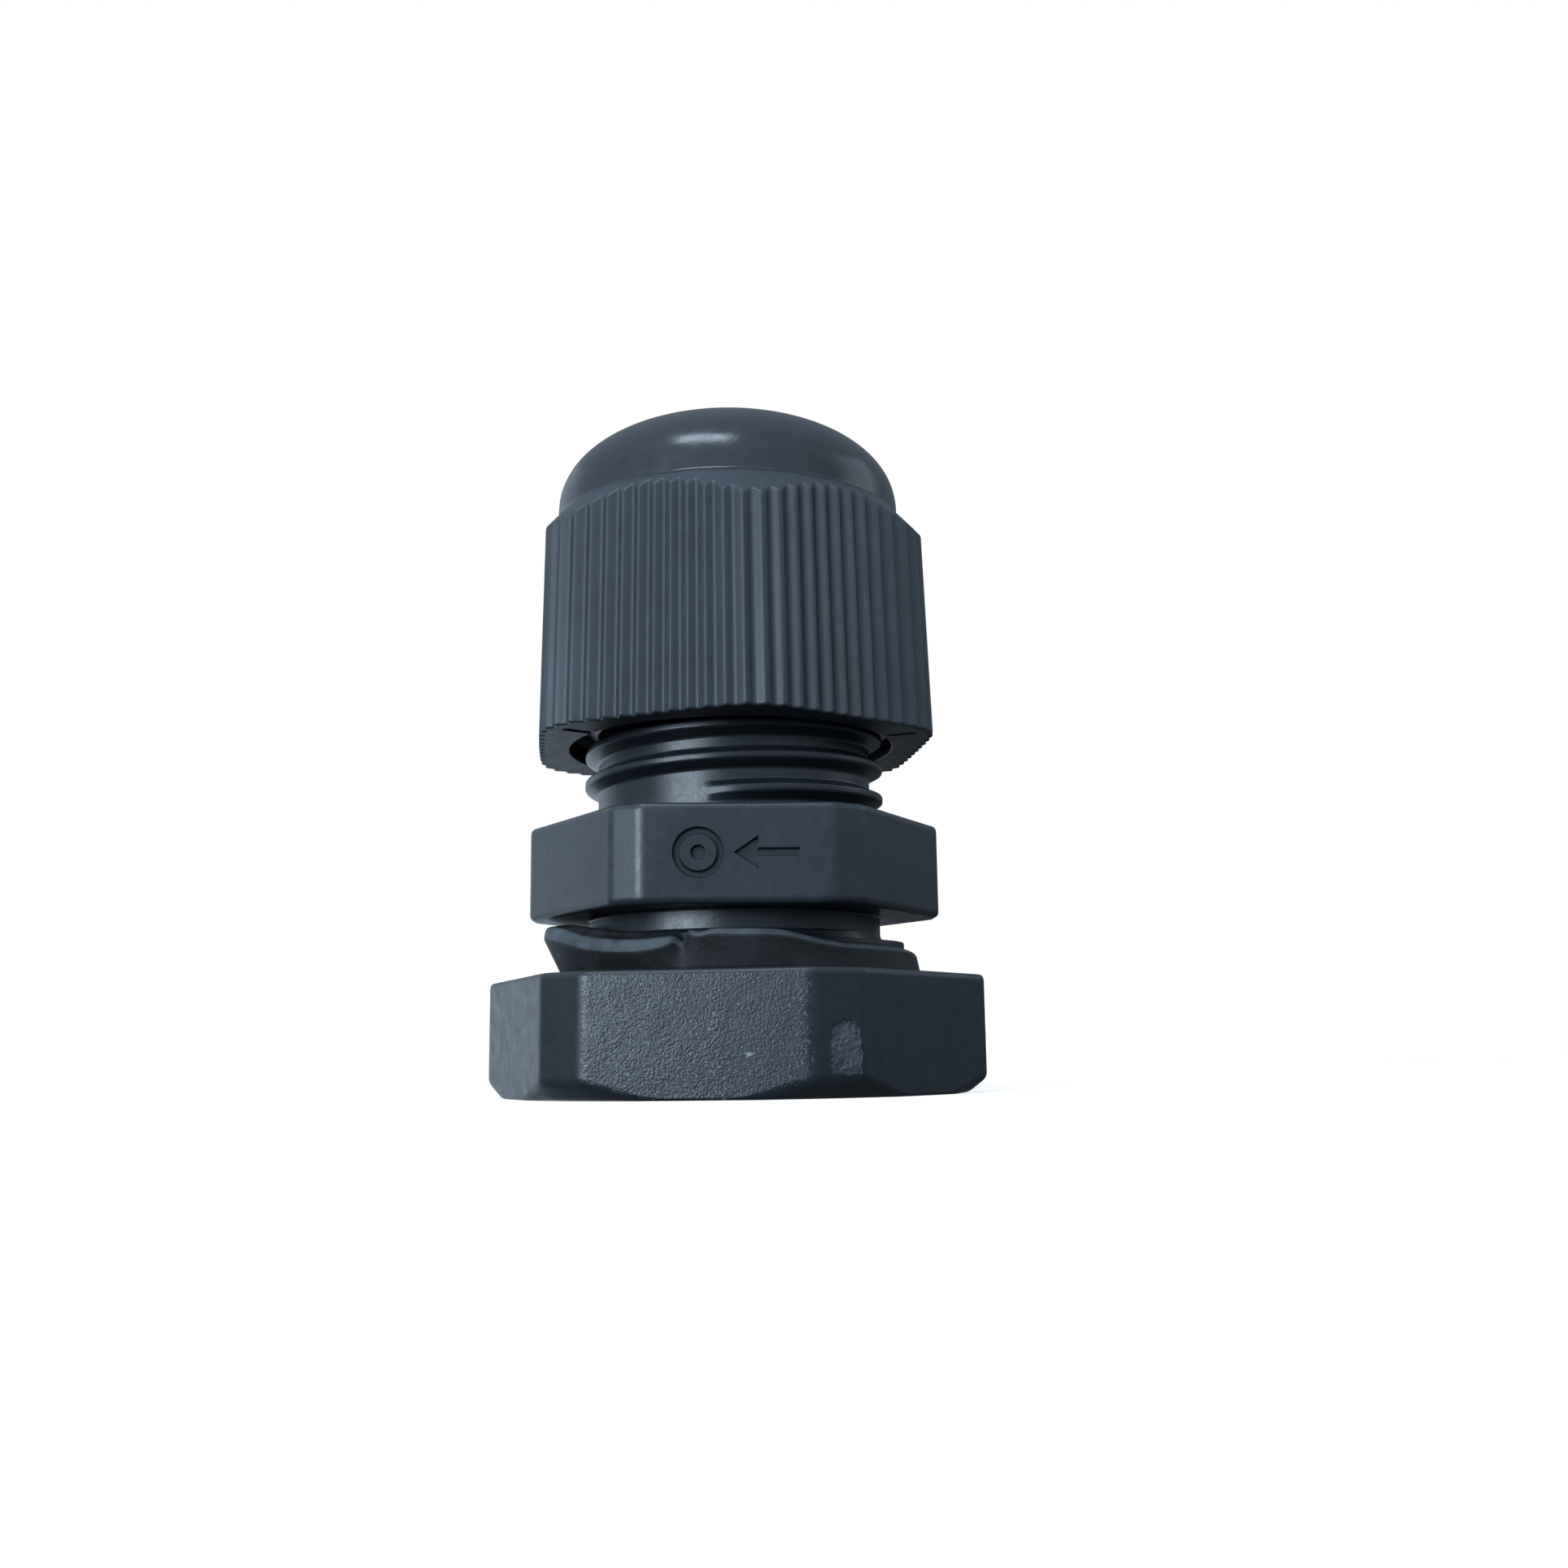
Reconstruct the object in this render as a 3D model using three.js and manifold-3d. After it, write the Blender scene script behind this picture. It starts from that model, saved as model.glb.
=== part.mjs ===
// A nylon cable gland for an M16 hole: gland body, sealing washer, lock nut, rubber seal insert,
// ten clamping fingers and the ribbed dome nut that closes them on the cable.
// Millimetres, +Z up along the gland's axis. The origin is the middle of the lock nut's underside.
import * as THREE from "three";
import { mergeVertices } from "three/addons/utils/BufferGeometryUtils.js";
import Module from "manifold-3d";

const wasm = await Module();
wasm.setup();

// ---------- driving dimensions ----------
const TURN = 2 * Math.PI;
const STEPS_PER_TURN = 24; // corners of every round section and of every turn of thread
const WELD = 1e-4; // vertices closer than this are one vertex
const FRONT = -Math.PI / 2; // the angle of the -Y direction, where the body's marked face looks

const PITCH = 1.5; // both threads climb this much in a turn

const LOCK_NUT = {
  halfAcrossFlats: 11,
  halfAcrossCorners: 12,
  height: 5.5,
  turned: THREE.MathUtils.degToRad(-9.7),
  bottomChamferRadius: 11.1, // where the cone under the corners meets the underside
  bottomChamferRise: 0.65, // how high that cone reaches at the corners
  mouthRadius: 8.35, // countersink at both ends of the tapped hole
};

const WASHER = { innerRadius: 8.15, outerRadius: 9.2, bottom: 5.6, thickness: 1.8 };

const BODY = {
  hexBottom: 8.4,
  hexHeight: 4.5,
  halfAcrossFlats: 9,
  halfAcrossCorners: 9.95,
  edgeBevel: 0.2,
  entryBottom: 0.7, // lower end of the panel thread, just inside the lock nut
  crownTop: 19.6,
  boreRadius: 4.6,
  boreChamfer: 0.6,
  seatRadius: 5.7, // counterbore that the seal insert slides down in
  seatFloor: 15.2,
};

// M16 x 1.5 thread that goes through the panel and takes the lock nut.
const PANEL_THREAD = {
  rootRadius: 7.08,
  crestRadius: 7.9,
  rootWidth: 1.15,
  crestWidth: 0.25,
  bottom: 0.7,
  top: 7.3,
  leadIn: 0.7,
  crestAtFront: -0.05,
};

// Thread on the neck for the dome nut: narrow ridges with a wide flat root between them.
const NECK_THREAD = {
  rootRadius: 6.7,
  crestRadius: 7.35,
  rootWidth: 0.8,
  crestWidth: 0.4,
  bottom: 12.9,
  top: 19,
  leadIn: 0.5,
  crestAtFront: 13.87, // height of the ridge's middle at the front, where it starts
};

const RADIAL_PLAY = 0.12; // room between a thread's crest or root and its nut
const AXIAL_PLAY = 0.1; // room on each side of a thread's ridge

const DOME_NUT = {
  bottom: 16.9,
  halfAcrossFlats: 9.45,
  cornerRadius: 10.3,
  cornerAngle: THREE.MathUtils.degToRad(5.3), // one corner's turn from the front
  ribs: 72, // with a groove on each corner
  ribDepth: 0.3,
  skirtTop: 28.4,
  topScale: 0.972, // the skirt's draft
  shoulderRadius: 9.9, // the sloping shoulder starts here ...
  shoulderBottom: 26.75,
  shoulderInnerRadius: 8.3, // ... and ends inside the dome
  shoulderTop: 28.75,
  domeRadius: 8.6,
  domeBottom: 26,
  domeCentre: 29.05, // height where the dome starts to close
  domeRise: 4.6,
  domeExponent: 2.2, // 2 is an ellipse, and more is squarer
  mouthRadius: 4.5,
  mouthLip: 0.3, // width of the flat lip round the mouth, before its edge is chamfered
  mouthChamfer: 0.25,
  entryRadius: 8,
  entryDepth: 0.6,
  entryConeHeight: 0.6, // from the entry down to the thread
  threadTop: 22.1,
  sleeveRadius: 7.6,
  sleeveConeHeight: 0.2, // from the thread out to the sleeve above it
  clampConeTop: 31.2,
  clampSlope: 0.35, // radius lost for each millimetre of height
  clampRadiusAtTips: 6.95,
  clampTipHeight: 26.6,
  notchAngles: [THREE.MathUtils.degToRad(65.3), THREE.MathUtils.degToRad(-54.7)],
  notchReach: 9.55,
  notchWidth: 0.5,
  notchDepth: 0.4,
};

const SEAL = {
  bottom: 18.6,
  top: 30.9,
  boreRadius: 3.9,
  boreChamfer: 0.45,
  bottomRadius: 5.5,
  taperBottom: 20.6,
  topRadius: 4.66,
};

const FINGERS = {
  count: 10,
  slotWidth: 1,
  bottom: 19.9,
  tipBend: 26.6, // where the outside starts to lean in
  top: 27.4,
  innerRadius: 5.9,
  outerRadius: 6.7,
  tipRadius: 6.35,
};

// Mark on the body's front face: a cable seen end on, and an arrow that points into it.
const MARK = {
  depth: 0.2,
  ringX: -1.75,
  ringRadius: 1.15,
  ringBore: 0.8,
  dotRadius: 0.35,
  arrowTip: -0.2,
  arrowHead: 1.1,
  arrowHeadHalfWidth: 0.75,
  arrowEnd: 2.75,
  shaftHalfWidth: 0.2,
};

// ---------- materials ----------
const nylon = (color, roughness) =>
  new THREE.MeshStandardMaterial({ color, roughness, metalness: 0 });

// ---------- solids ----------
// A closed three.js geometry as a manifold-3d solid with its faces turned outwards.
function toSolid(geometry) {
  const bare = geometry.clone();
  bare.deleteAttribute("normal");
  bare.deleteAttribute("uv");
  const welded = mergeVertices(bare, WELD);
  const triangles = [];
  for (let i = 0; i < welded.index.count; i += 3) {
    const [a, b, c] = [0, 1, 2].map((corner) => welded.index.getX(i + corner));
    if (a !== b && b !== c && c !== a) triangles.push(a, b, c);
  }
  const vertProperties = welded.attributes.position.array;
  const build = (triVerts) => new wasm.Manifold(new wasm.Mesh({ numProp: 3, vertProperties, triVerts }));
  const solid = build(Uint32Array.from(triangles));
  return solid.volume() > 0 ? solid : build(Uint32Array.from(triangles.reverse()));
}

// The solid back as a geometry, faceted so that flat faces look flat.
function toGeometry(solid) {
  const mesh = solid.getMesh();
  const geometry = new THREE.BufferGeometry();
  geometry.setAttribute("position", new THREE.BufferAttribute(mesh.vertProperties, 3));
  geometry.setIndex(new THREE.BufferAttribute(mesh.triVerts, 1));
  const faceted = geometry.toNonIndexed();
  faceted.computeVertexNormals();
  return faceted;
}

// A solid turned around Z from [radius, height] points. The outline starts and ends on the axis,
// or closes on itself.
function revolve(outline, steps = STEPS_PER_TURN) {
  const points = outline.map(([radius, height]) => new THREE.Vector2(radius, height));
  return toSolid(new THREE.LatheGeometry(points, steps).rotateX(Math.PI / 2).rotateZ(FRONT));
}

// A disc or cylinder from one height to another.
const cylinder = (radius, bottom, top) => revolve([[0, bottom], [radius, bottom], [radius, top], [0, top]]);

// A prism of an outline in the XY plane.
function prism(shape, bottom, height, bevel = 0) {
  const geometry = new THREE.ExtrudeGeometry(shape, {
    depth: height - 2 * bevel,
    bevelEnabled: bevel > 0,
    bevelThickness: bevel,
    bevelSize: bevel,
    bevelOffset: -bevel,
    bevelSegments: 1,
    curveSegments: 8,
  });
  return toSolid(geometry.translate(0, 0, bottom + bevel));
}

// A hexagon whose six corners are cut flat: halfAcrossCorners is the distance to each cut.
function cutHexagon({ halfAcrossFlats, halfAcrossCorners, turned = 0 }) {
  const halfFlat = 2 * halfAcrossCorners - Math.sqrt(3) * halfAcrossFlats;
  const points = [];
  for (let side = 0; side < 6; side += 1) {
    for (const along of [-halfFlat, halfFlat]) {
      const point = new THREE.Vector2(halfAcrossFlats, along);
      points.push(point.rotateAround(new THREE.Vector2(), FRONT + turned + (side * TURN) / 6));
    }
  }
  return new THREE.Shape(points);
}

// The ridge of a screw thread: a trapezoid carried up a right-hand helix, closed at both ends.
// grow widens and heightens it, which gives the shape that a nut's thread is cut with.
function threadRidge(thread, grow = { radial: 0, axial: 0 }) {
  const turns = Math.ceil((thread.top - thread.crestAtFront) / PITCH) + 1;
  const steps = turns * STEPS_PER_TURN;
  const bury = 0.15; // how far the ridge's foot reaches into the core
  const flank = (thread.rootWidth - thread.crestWidth) / 2 / (thread.crestRadius - thread.rootRadius);
  const footHalf = thread.rootWidth / 2 + grow.axial;
  const crestHalf = thread.crestWidth / 2 + grow.axial - flank * grow.radial;
  const section = [
    [thread.rootRadius - bury, -footHalf],
    [thread.rootRadius, -footHalf],
    [thread.crestRadius + grow.radial, -crestHalf],
    [thread.crestRadius + grow.radial, crestHalf],
    [thread.rootRadius, footHalf],
    [thread.rootRadius - bury, footHalf],
  ];
  const positions = [];
  for (let step = 0; step <= steps; step += 1) {
    const angle = FRONT + (step / STEPS_PER_TURN) * TURN;
    const middle = thread.crestAtFront + (step / STEPS_PER_TURN) * PITCH;
    for (const [radius, offset] of section) {
      positions.push(radius * Math.cos(angle), radius * Math.sin(angle), middle + offset);
    }
  }
  const size = section.length;
  const triangles = [];
  for (let step = 0; step < steps; step += 1) {
    for (let corner = 0; corner < size; corner += 1) {
      const a = step * size + corner;
      const b = step * size + ((corner + 1) % size);
      triangles.push(a, b, a + size, b, b + size, a + size);
    }
  }
  for (let corner = 1; corner < size - 1; corner += 1) {
    const last = steps * size;
    triangles.push(0, corner + 1, corner, last, last + corner, last + corner + 1);
  }
  const geometry = new THREE.BufferGeometry();
  geometry.setAttribute("position", new THREE.Float32BufferAttribute(positions, 3));
  geometry.setIndex(triangles);
  return toSolid(geometry);
}

// The thread on a shaft, with a cone at its free end that the nut starts on.
function outsideThread(thread, freeEnd) {
  const { rootRadius, crestRadius, bottom, top, leadIn } = thread;
  const past = crestRadius + 1;
  const coneHeight = (leadIn * (past - rootRadius)) / (crestRadius - rootRadius);
  const coneAtBottom = [[rootRadius, bottom], [past, bottom + coneHeight], [past, top]];
  const coneAtTop = [[past, bottom], [past, top - coneHeight], [rootRadius, top]];
  const side = freeEnd === "bottom" ? coneAtBottom : coneAtTop;
  return threadRidge(thread).intersect(revolve([[0, bottom], ...side, [0, top]]));
}

// What is cut out of a nut for its thread.
function tappedHole(thread, bottom, top) {
  const ridge = threadRidge({ ...thread, top: top + PITCH }, { radial: RADIAL_PLAY, axial: AXIAL_PLAY });
  const reach = cylinder(thread.crestRadius + 1, bottom, top);
  return cylinder(thread.rootRadius + RADIAL_PLAY, bottom, top).add(ridge.intersect(reach));
}

// ---------- pieces ----------
function markCutter() {
  const ring = new THREE.Shape().absarc(MARK.ringX, 0, MARK.ringRadius, 0, TURN);
  ring.holes.push(new THREE.Path().absarc(MARK.ringX, 0, MARK.ringBore, 0, TURN, true));
  const dot = new THREE.Shape().absarc(MARK.ringX, 0, MARK.dotRadius, 0, TURN);
  const neck = MARK.arrowTip + MARK.arrowHead;
  const arrow = new THREE.Shape([
    new THREE.Vector2(MARK.arrowTip, 0),
    new THREE.Vector2(neck, -MARK.arrowHeadHalfWidth),
    new THREE.Vector2(neck, -MARK.shaftHalfWidth),
    new THREE.Vector2(MARK.arrowEnd, -MARK.shaftHalfWidth),
    new THREE.Vector2(MARK.arrowEnd, MARK.shaftHalfWidth),
    new THREE.Vector2(neck, MARK.shaftHalfWidth),
    new THREE.Vector2(neck, MARK.arrowHeadHalfWidth),
  ]);
  const middle = BODY.hexBottom + BODY.hexHeight / 2;
  const parts = [ring, dot, arrow].map((shape) => {
    const geometry = new THREE.ExtrudeGeometry(shape, { depth: 2 * MARK.depth, bevelEnabled: false });
    return toSolid(geometry.rotateX(Math.PI / 2).translate(0, MARK.depth - BODY.halfAcrossFlats, middle));
  });
  return parts[0].add(parts[1]).add(parts[2]);
}

function glandBody() {
  const { hexBottom, hexHeight, entryBottom, crownTop, boreRadius, boreChamfer } = BODY;
  const shaft = revolve([
    [0, entryBottom],
    [PANEL_THREAD.rootRadius, entryBottom],
    [PANEL_THREAD.rootRadius, hexBottom + hexHeight / 4],
    [NECK_THREAD.rootRadius, hexBottom + (3 * hexHeight) / 4],
    [NECK_THREAD.rootRadius, crownTop],
    [0, crownTop],
  ]);
  const hollow = revolve([
    [0, entryBottom - 1],
    [boreRadius + boreChamfer + 1, entryBottom - 1],
    [boreRadius, entryBottom + boreChamfer],
    [boreRadius, BODY.seatFloor],
    [BODY.seatRadius, BODY.seatFloor],
    [BODY.seatRadius, crownTop + 1],
    [0, crownTop + 1],
  ]);
  return shaft
    .add(prism(cutHexagon(BODY), hexBottom, hexHeight, BODY.edgeBevel))
    .add(outsideThread(PANEL_THREAD, "bottom"))
    .add(outsideThread(NECK_THREAD, "top"))
    .subtract(hollow)
    .subtract(markCutter());
}

function sealingWasher() {
  const { innerRadius, outerRadius, bottom, thickness } = WASHER;
  const top = bottom + thickness;
  const outline = [[innerRadius, bottom], [outerRadius, bottom], [outerRadius, top], [innerRadius, top]];
  return revolve([...outline, outline[0]], 2 * STEPS_PER_TURN);
}

function lockNut() {
  const { height, bottomChamferRadius, bottomChamferRise, halfAcrossCorners, mouthRadius } = LOCK_NUT;
  const slope = bottomChamferRise / (halfAcrossCorners - bottomChamferRadius);
  const wide = halfAcrossCorners + 1;
  const outline = [
    [0, 0],
    [bottomChamferRadius, 0],
    [wide, slope * (wide - bottomChamferRadius)],
    [wide, height],
    [0, height],
  ];
  const envelope = revolve(outline, 4 * STEPS_PER_TURN);
  const countersink = mouthRadius - PANEL_THREAD.rootRadius;
  const mouths = revolve([
    [0, -1],
    [mouthRadius + 1, -1],
    [mouthRadius - countersink, countersink],
    [mouthRadius - countersink, height - countersink],
    [mouthRadius + 1, height + 1],
    [0, height + 1],
  ]);
  return prism(cutHexagon(LOCK_NUT), 0, height)
    .intersect(envelope)
    .subtract(tappedHole(PANEL_THREAD, -1, height + 1))
    .subtract(mouths);
}

function sealInsert() {
  const { bottom, top, boreRadius, boreChamfer, bottomRadius, taperBottom, topRadius } = SEAL;
  const outline = [
    [boreRadius + boreChamfer, bottom],
    [bottomRadius, bottom],
    [bottomRadius, taperBottom],
    [topRadius, top],
    [boreRadius + boreChamfer, top],
    [boreRadius, top - boreChamfer],
    [boreRadius, bottom + boreChamfer],
  ];
  return revolve([...outline, outline[0]]);
}

// One clamping finger: a slice of a ring, standing at the front.
function finger() {
  const { count, slotWidth, bottom, tipBend, top, innerRadius, outerRadius, tipRadius } = FINGERS;
  const outline = [
    [innerRadius, bottom],
    [outerRadius, bottom],
    [outerRadius, tipBend],
    [tipRadius, top],
    [innerRadius, top],
  ];
  const ring = revolve([...outline, outline[0]], 6 * count);
  const corner = (radius, side) => {
    const angle = FRONT + side * (TURN / count / 2 - Math.asin(slotWidth / 2 / radius));
    return new THREE.Vector2(radius * Math.cos(angle), radius * Math.sin(angle));
  };
  const [near, far] = [innerRadius - 1, outerRadius + 1];
  const slice = new THREE.Shape([corner(near, -1), corner(far, -1), corner(far, 1), corner(near, 1)]);
  return ring.intersect(prism(slice, bottom - 1, top - bottom + 2));
}

// The dome nut's outline: flats and turned corners, with a pointed rib every few degrees.
function ribbedOutline() {
  const { halfAcrossFlats, cornerRadius, cornerAngle, ribs, ribDepth } = DOME_NUT;
  const points = [];
  for (let i = 0; i < 2 * ribs; i += 1) {
    const angle = (i / (2 * ribs)) * TURN;
    const fromFlat = (angle % (TURN / 6)) - TURN / 12;
    const edge = Math.min(halfAcrossFlats / Math.cos(fromFlat), cornerRadius);
    const radius = i % 2 === 0 ? edge - ribDepth : edge;
    const direction = angle + FRONT + cornerAngle;
    points.push(new THREE.Vector2(radius * Math.cos(direction), radius * Math.sin(direction)));
  }
  return new THREE.Shape(points);
}

function ribbedSkirt() {
  const { bottom, skirtTop, topScale } = DOME_NUT;
  const height = skirtTop - bottom;
  const geometry = new THREE.ExtrudeGeometry(ribbedOutline(), { depth: height, bevelEnabled: false });
  const position = geometry.attributes.position;
  for (let i = 0; i < position.count; i += 1) {
    const scale = 1 + ((topScale - 1) * position.getZ(i)) / height;
    position.setXY(i, position.getX(i) * scale, position.getY(i) * scale);
  }
  return toSolid(geometry.translate(0, 0, bottom));
}

// Height of the dome's outside at a radius.
function domeHeight(radius) {
  const { domeRadius, domeCentre, domeRise, domeExponent } = DOME_NUT;
  const share = 1 - (radius / domeRadius) ** domeExponent;
  return domeCentre + domeRise * share ** (1 / domeExponent);
}

function domeOutline() {
  const { domeRadius, domeBottom, domeCentre, domeExponent, mouthRadius, mouthLip } = DOME_NUT;
  const rimRadius = mouthRadius + mouthLip;
  const outline = [[0, domeBottom], [domeRadius, domeBottom], [domeRadius, domeCentre]];
  const steps = 7;
  const rimAngle = Math.acos((rimRadius / domeRadius) ** (domeExponent / 2));
  for (let i = 1; i <= steps; i += 1) {
    const radius = domeRadius * Math.cos((rimAngle * i) / steps) ** (2 / domeExponent);
    outline.push([radius, domeHeight(radius)]);
  }
  return [...outline, [0, domeHeight(rimRadius)]];
}

function domeNut() {
  const { bottom, entryRadius, entryDepth, entryConeHeight } = DOME_NUT;
  const { threadTop, sleeveRadius, sleeveConeHeight, mouthRadius, mouthLip, mouthChamfer } = DOME_NUT;
  const { clampConeTop, clampSlope, clampRadiusAtTips, clampTipHeight } = DOME_NUT;
  const { shoulderRadius, shoulderBottom, shoulderInnerRadius, shoulderTop } = DOME_NUT;
  const clampRadius = (height) => clampRadiusAtTips - clampSlope * (height - clampTipHeight);
  const clampBottom = clampTipHeight + (clampRadiusAtTips - sleeveRadius) / clampSlope;
  const threadHole = NECK_THREAD.rootRadius + RADIAL_PLAY;
  const rim = domeHeight(mouthRadius + mouthLip);
  const slope = (shoulderTop - shoulderBottom) / (shoulderRadius - shoulderInnerRadius);
  const past = shoulderRadius + 1;
  const shoulder = revolve(
    [
      [0, bottom - 1],
      [past, bottom - 1],
      [past, shoulderBottom - slope],
      [shoulderInnerRadius, shoulderTop],
      [0, shoulderTop],
    ],
    2 * STEPS_PER_TURN,
  );
  const hollow = revolve([
    [0, bottom - 1],
    [entryRadius, bottom - 1],
    [entryRadius, bottom + entryDepth],
    [threadHole, bottom + entryDepth + entryConeHeight],
    [threadHole, threadTop - sleeveConeHeight],
    [sleeveRadius, threadTop],
    [sleeveRadius, clampBottom],
    [clampRadius(clampConeTop), clampConeTop],
    [mouthRadius, clampConeTop],
    [mouthRadius, rim - mouthChamfer],
    [mouthRadius + mouthChamfer + 1, rim + 1],
    [0, rim + 1],
  ]);
  let nut = ribbedSkirt()
    .intersect(shoulder)
    .add(revolve(domeOutline(), 2 * STEPS_PER_TURN))
    .subtract(hollow)
    .subtract(tappedHole(NECK_THREAD, bottom - 1, threadTop));
  for (const angle of DOME_NUT.notchAngles) {
    const { notchReach, notchWidth, notchDepth } = DOME_NUT;
    const box = new THREE.BoxGeometry(notchReach - entryRadius + 1, notchWidth, 2 * notchDepth);
    const placed = box.translate((notchReach + entryRadius - 1) / 2, 0, bottom).rotateZ(FRONT + angle);
    nut = nut.subtract(toSolid(placed));
  }
  return nut;
}

// ---------- the assembly ----------
const gland = new THREE.Group();
gland.name = "cable_gland";

function place(parent, name, solid, material) {
  const mesh = new THREE.Mesh(toGeometry(solid), material);
  mesh.name = name;
  parent.add(mesh);
  return mesh;
}

place(gland, "gland_body", glandBody(), nylon(0x34393e, 0.42));
place(gland, "sealing_washer", sealingWasher(), nylon(0x1d1f21, 0.85));
place(gland, "lock_nut", lockNut(), nylon(0x3a4045, 0.6));
place(gland, "seal_insert", sealInsert(), nylon(0x191a1b, 0.9));
place(gland, "dome_nut", domeNut(), nylon(0x363c42, 0.4));

const crown = new THREE.Group();
const fingerSolid = finger();
for (let i = 0; i < FINGERS.count; i += 1) {
  const turned = new THREE.Group();
  turned.rotation.z = ((i + 0.5) / FINGERS.count) * TURN;
  place(turned, `finger_${i + 1}`, fingerSolid, nylon(0x30353a, 0.5));
  crown.add(turned);
}
gland.add(crown);

export default gland;
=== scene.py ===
"""Looks of a black nylon cable gland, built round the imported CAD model.

Sizes in this script are in millimetres, in the CAD model's frame: +Z is up the gland's axis, and
azimuths are degrees round that axis, from the front (-Y) towards +X.
"""

import math

import bmesh
import bpy
import numpy as np
from mathutils import Matrix, Vector


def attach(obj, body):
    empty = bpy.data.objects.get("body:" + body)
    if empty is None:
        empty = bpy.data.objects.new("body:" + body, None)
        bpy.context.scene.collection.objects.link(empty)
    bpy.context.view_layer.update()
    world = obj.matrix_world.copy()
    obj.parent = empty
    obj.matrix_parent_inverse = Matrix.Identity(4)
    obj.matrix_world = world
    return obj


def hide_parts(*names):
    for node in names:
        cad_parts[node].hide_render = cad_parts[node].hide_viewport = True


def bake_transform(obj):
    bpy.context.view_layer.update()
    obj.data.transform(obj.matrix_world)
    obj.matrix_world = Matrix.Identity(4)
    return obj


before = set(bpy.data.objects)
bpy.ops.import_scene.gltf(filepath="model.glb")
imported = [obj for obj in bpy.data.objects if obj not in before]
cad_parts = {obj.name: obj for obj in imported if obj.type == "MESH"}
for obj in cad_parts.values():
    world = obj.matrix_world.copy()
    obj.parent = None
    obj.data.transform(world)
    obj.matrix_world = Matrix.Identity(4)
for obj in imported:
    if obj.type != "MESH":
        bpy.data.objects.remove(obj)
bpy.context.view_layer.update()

MM = 0.001
PITCH = 1.5  # climb of both threads in a turn
WELD = 1e-4  # points closer than this are one point
SHARP = math.radians(33)  # edges that turn more than this stay crisp


# ---------- sizes ----------
BODY = {
    "across_flats": 9.0,
    "across_corners": 9.95,
    "hex_bottom": 8.4,
    "hex_top": 12.9,
    "entry_bottom": 0.7,
    "crown_top": 19.6,
    "bore": 4.6,
    "seat": 5.7,
    "seat_floor": 15.2,
}
# feet and tops are heights from the middle of the thread's ridge
PANEL_THREAD = {
    "root": 7.08,
    "crest": 7.9,
    "feet": (-0.575, 0.575),
    "tops": (-0.125, 0.125),
    "start": -0.05,  # height of the ridge's middle at the front
}
NECK_THREAD = {
    "root": 6.7,
    "crest": 7.35,
    "feet": (-0.52, 0.4),
    "tops": (-0.2, 0.15),
    "start": 13.87,
}
LOCK_NUT = {
    "across_flats": 11.0,
    "across_corners": 12.0,
    "height": 5.5,
    "turned": -9.7,
    "chamfer_radius": 11.1,
    "chamfer_slope": 0.722,
    "mouth": 8.35,
}
DOME_NUT = {
    "bottom": 16.9,
    "across_flats": 9.43,
    "corner_radius": 10.38,
    "corner_softness": 0.2,
    "corner_azimuth": 5.3,
    "ribs": 72,
    "rib_depth": 0.27,
    "draft": -0.00248,  # share of the radius lost for each millimetre of height
    "shoulder": (8.6, 28.5),  # where the sloping shoulder meets the dome
    "shoulder_slope": 0.9,  # radius lost for each millimetre of height
    "dome_centre": 29.05,
    "dome_rise": 4.6,
    "dome_exponent": 2.2,
    "mouth": 4.5,
    "lip": 4.8,
    "entry": 8.0,
    "entry_depth": 1.1,
    "thread_top": 22.1,
    "sleeve": 7.6,
    "clamp_bottom": 25.45,
    "clamp_top": (5.59, 31.2),
    "lean_left": -0.25,  # degrees it leans on its loose thread
    "lean_back": -0.8,
    "aside": -0.14,
    "sink": 0.06,
    "play": 0.3,  # of its thread on the neck, at each side
}


# ---------- outlines ----------
def unit(azimuth):
    """The direction of an azimuth in degrees, as a complex number."""
    return np.exp(1j * np.radians(azimuth))


def cross(a, b):
    return (np.conj(a) * b).imag


def round_polygon(vertices, reach, steps=4, guard=0.06):
    """A closed outline with each corner rounded from `reach` before it to `reach` after it."""
    points = []
    for before, here, after in zip(np.roll(vertices, 1), vertices, np.roll(vertices, -1)):
        back = (before - here) / abs(before - here)
        on = (after - here) / abs(after - here)
        points.append(here + back * (reach + guard))
        for t in np.linspace(0, 1, steps + 1):
            start, end = here + back * reach, here + on * reach
            points.append((1 - t) ** 2 * start + 2 * t * (1 - t) * here + t**2 * end)
        points.append(here + on * (reach + guard))
    return np.array(points)


def cut_hexagon(across_flats, across_corners, turned, reach):
    """A hexagon whose corners are cut flat, as complex numbers. Both sizes are half sizes."""
    half_flat = 2 * across_corners - math.sqrt(3) * across_flats
    corners = []
    for side in range(6):
        for along in (-half_flat, half_flat):
            corners.append((across_flats + 1j * along) * unit(60 * side + turned))
    return round_polygon(np.array(corners), reach)


def outline_radius(outline, azimuths):
    """How far the outline is from the axis at each azimuth."""
    angle = np.degrees(np.angle(outline)) % 360
    order = np.argsort(angle)
    outline, angle = outline[order], angle[order]
    after = np.searchsorted(angle, np.asarray(azimuths) % 360, side="right") % len(outline)
    p, q = outline[after - 1], outline[after]
    return cross(p, q) / cross(unit(azimuths), q - p)


def columns(uniform, *outlines):
    """Evenly spaced azimuths, and those of every point of the outlines."""
    found = list(np.arange(uniform) * 360 / uniform)
    for outline in outlines:
        found += list(np.degrees(np.angle(outline)) % 360)
    found = np.sort(np.array(found) % 360)
    keep = np.diff(found, prepend=found[-1] - 360) > 0.02
    return found[keep]


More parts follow.
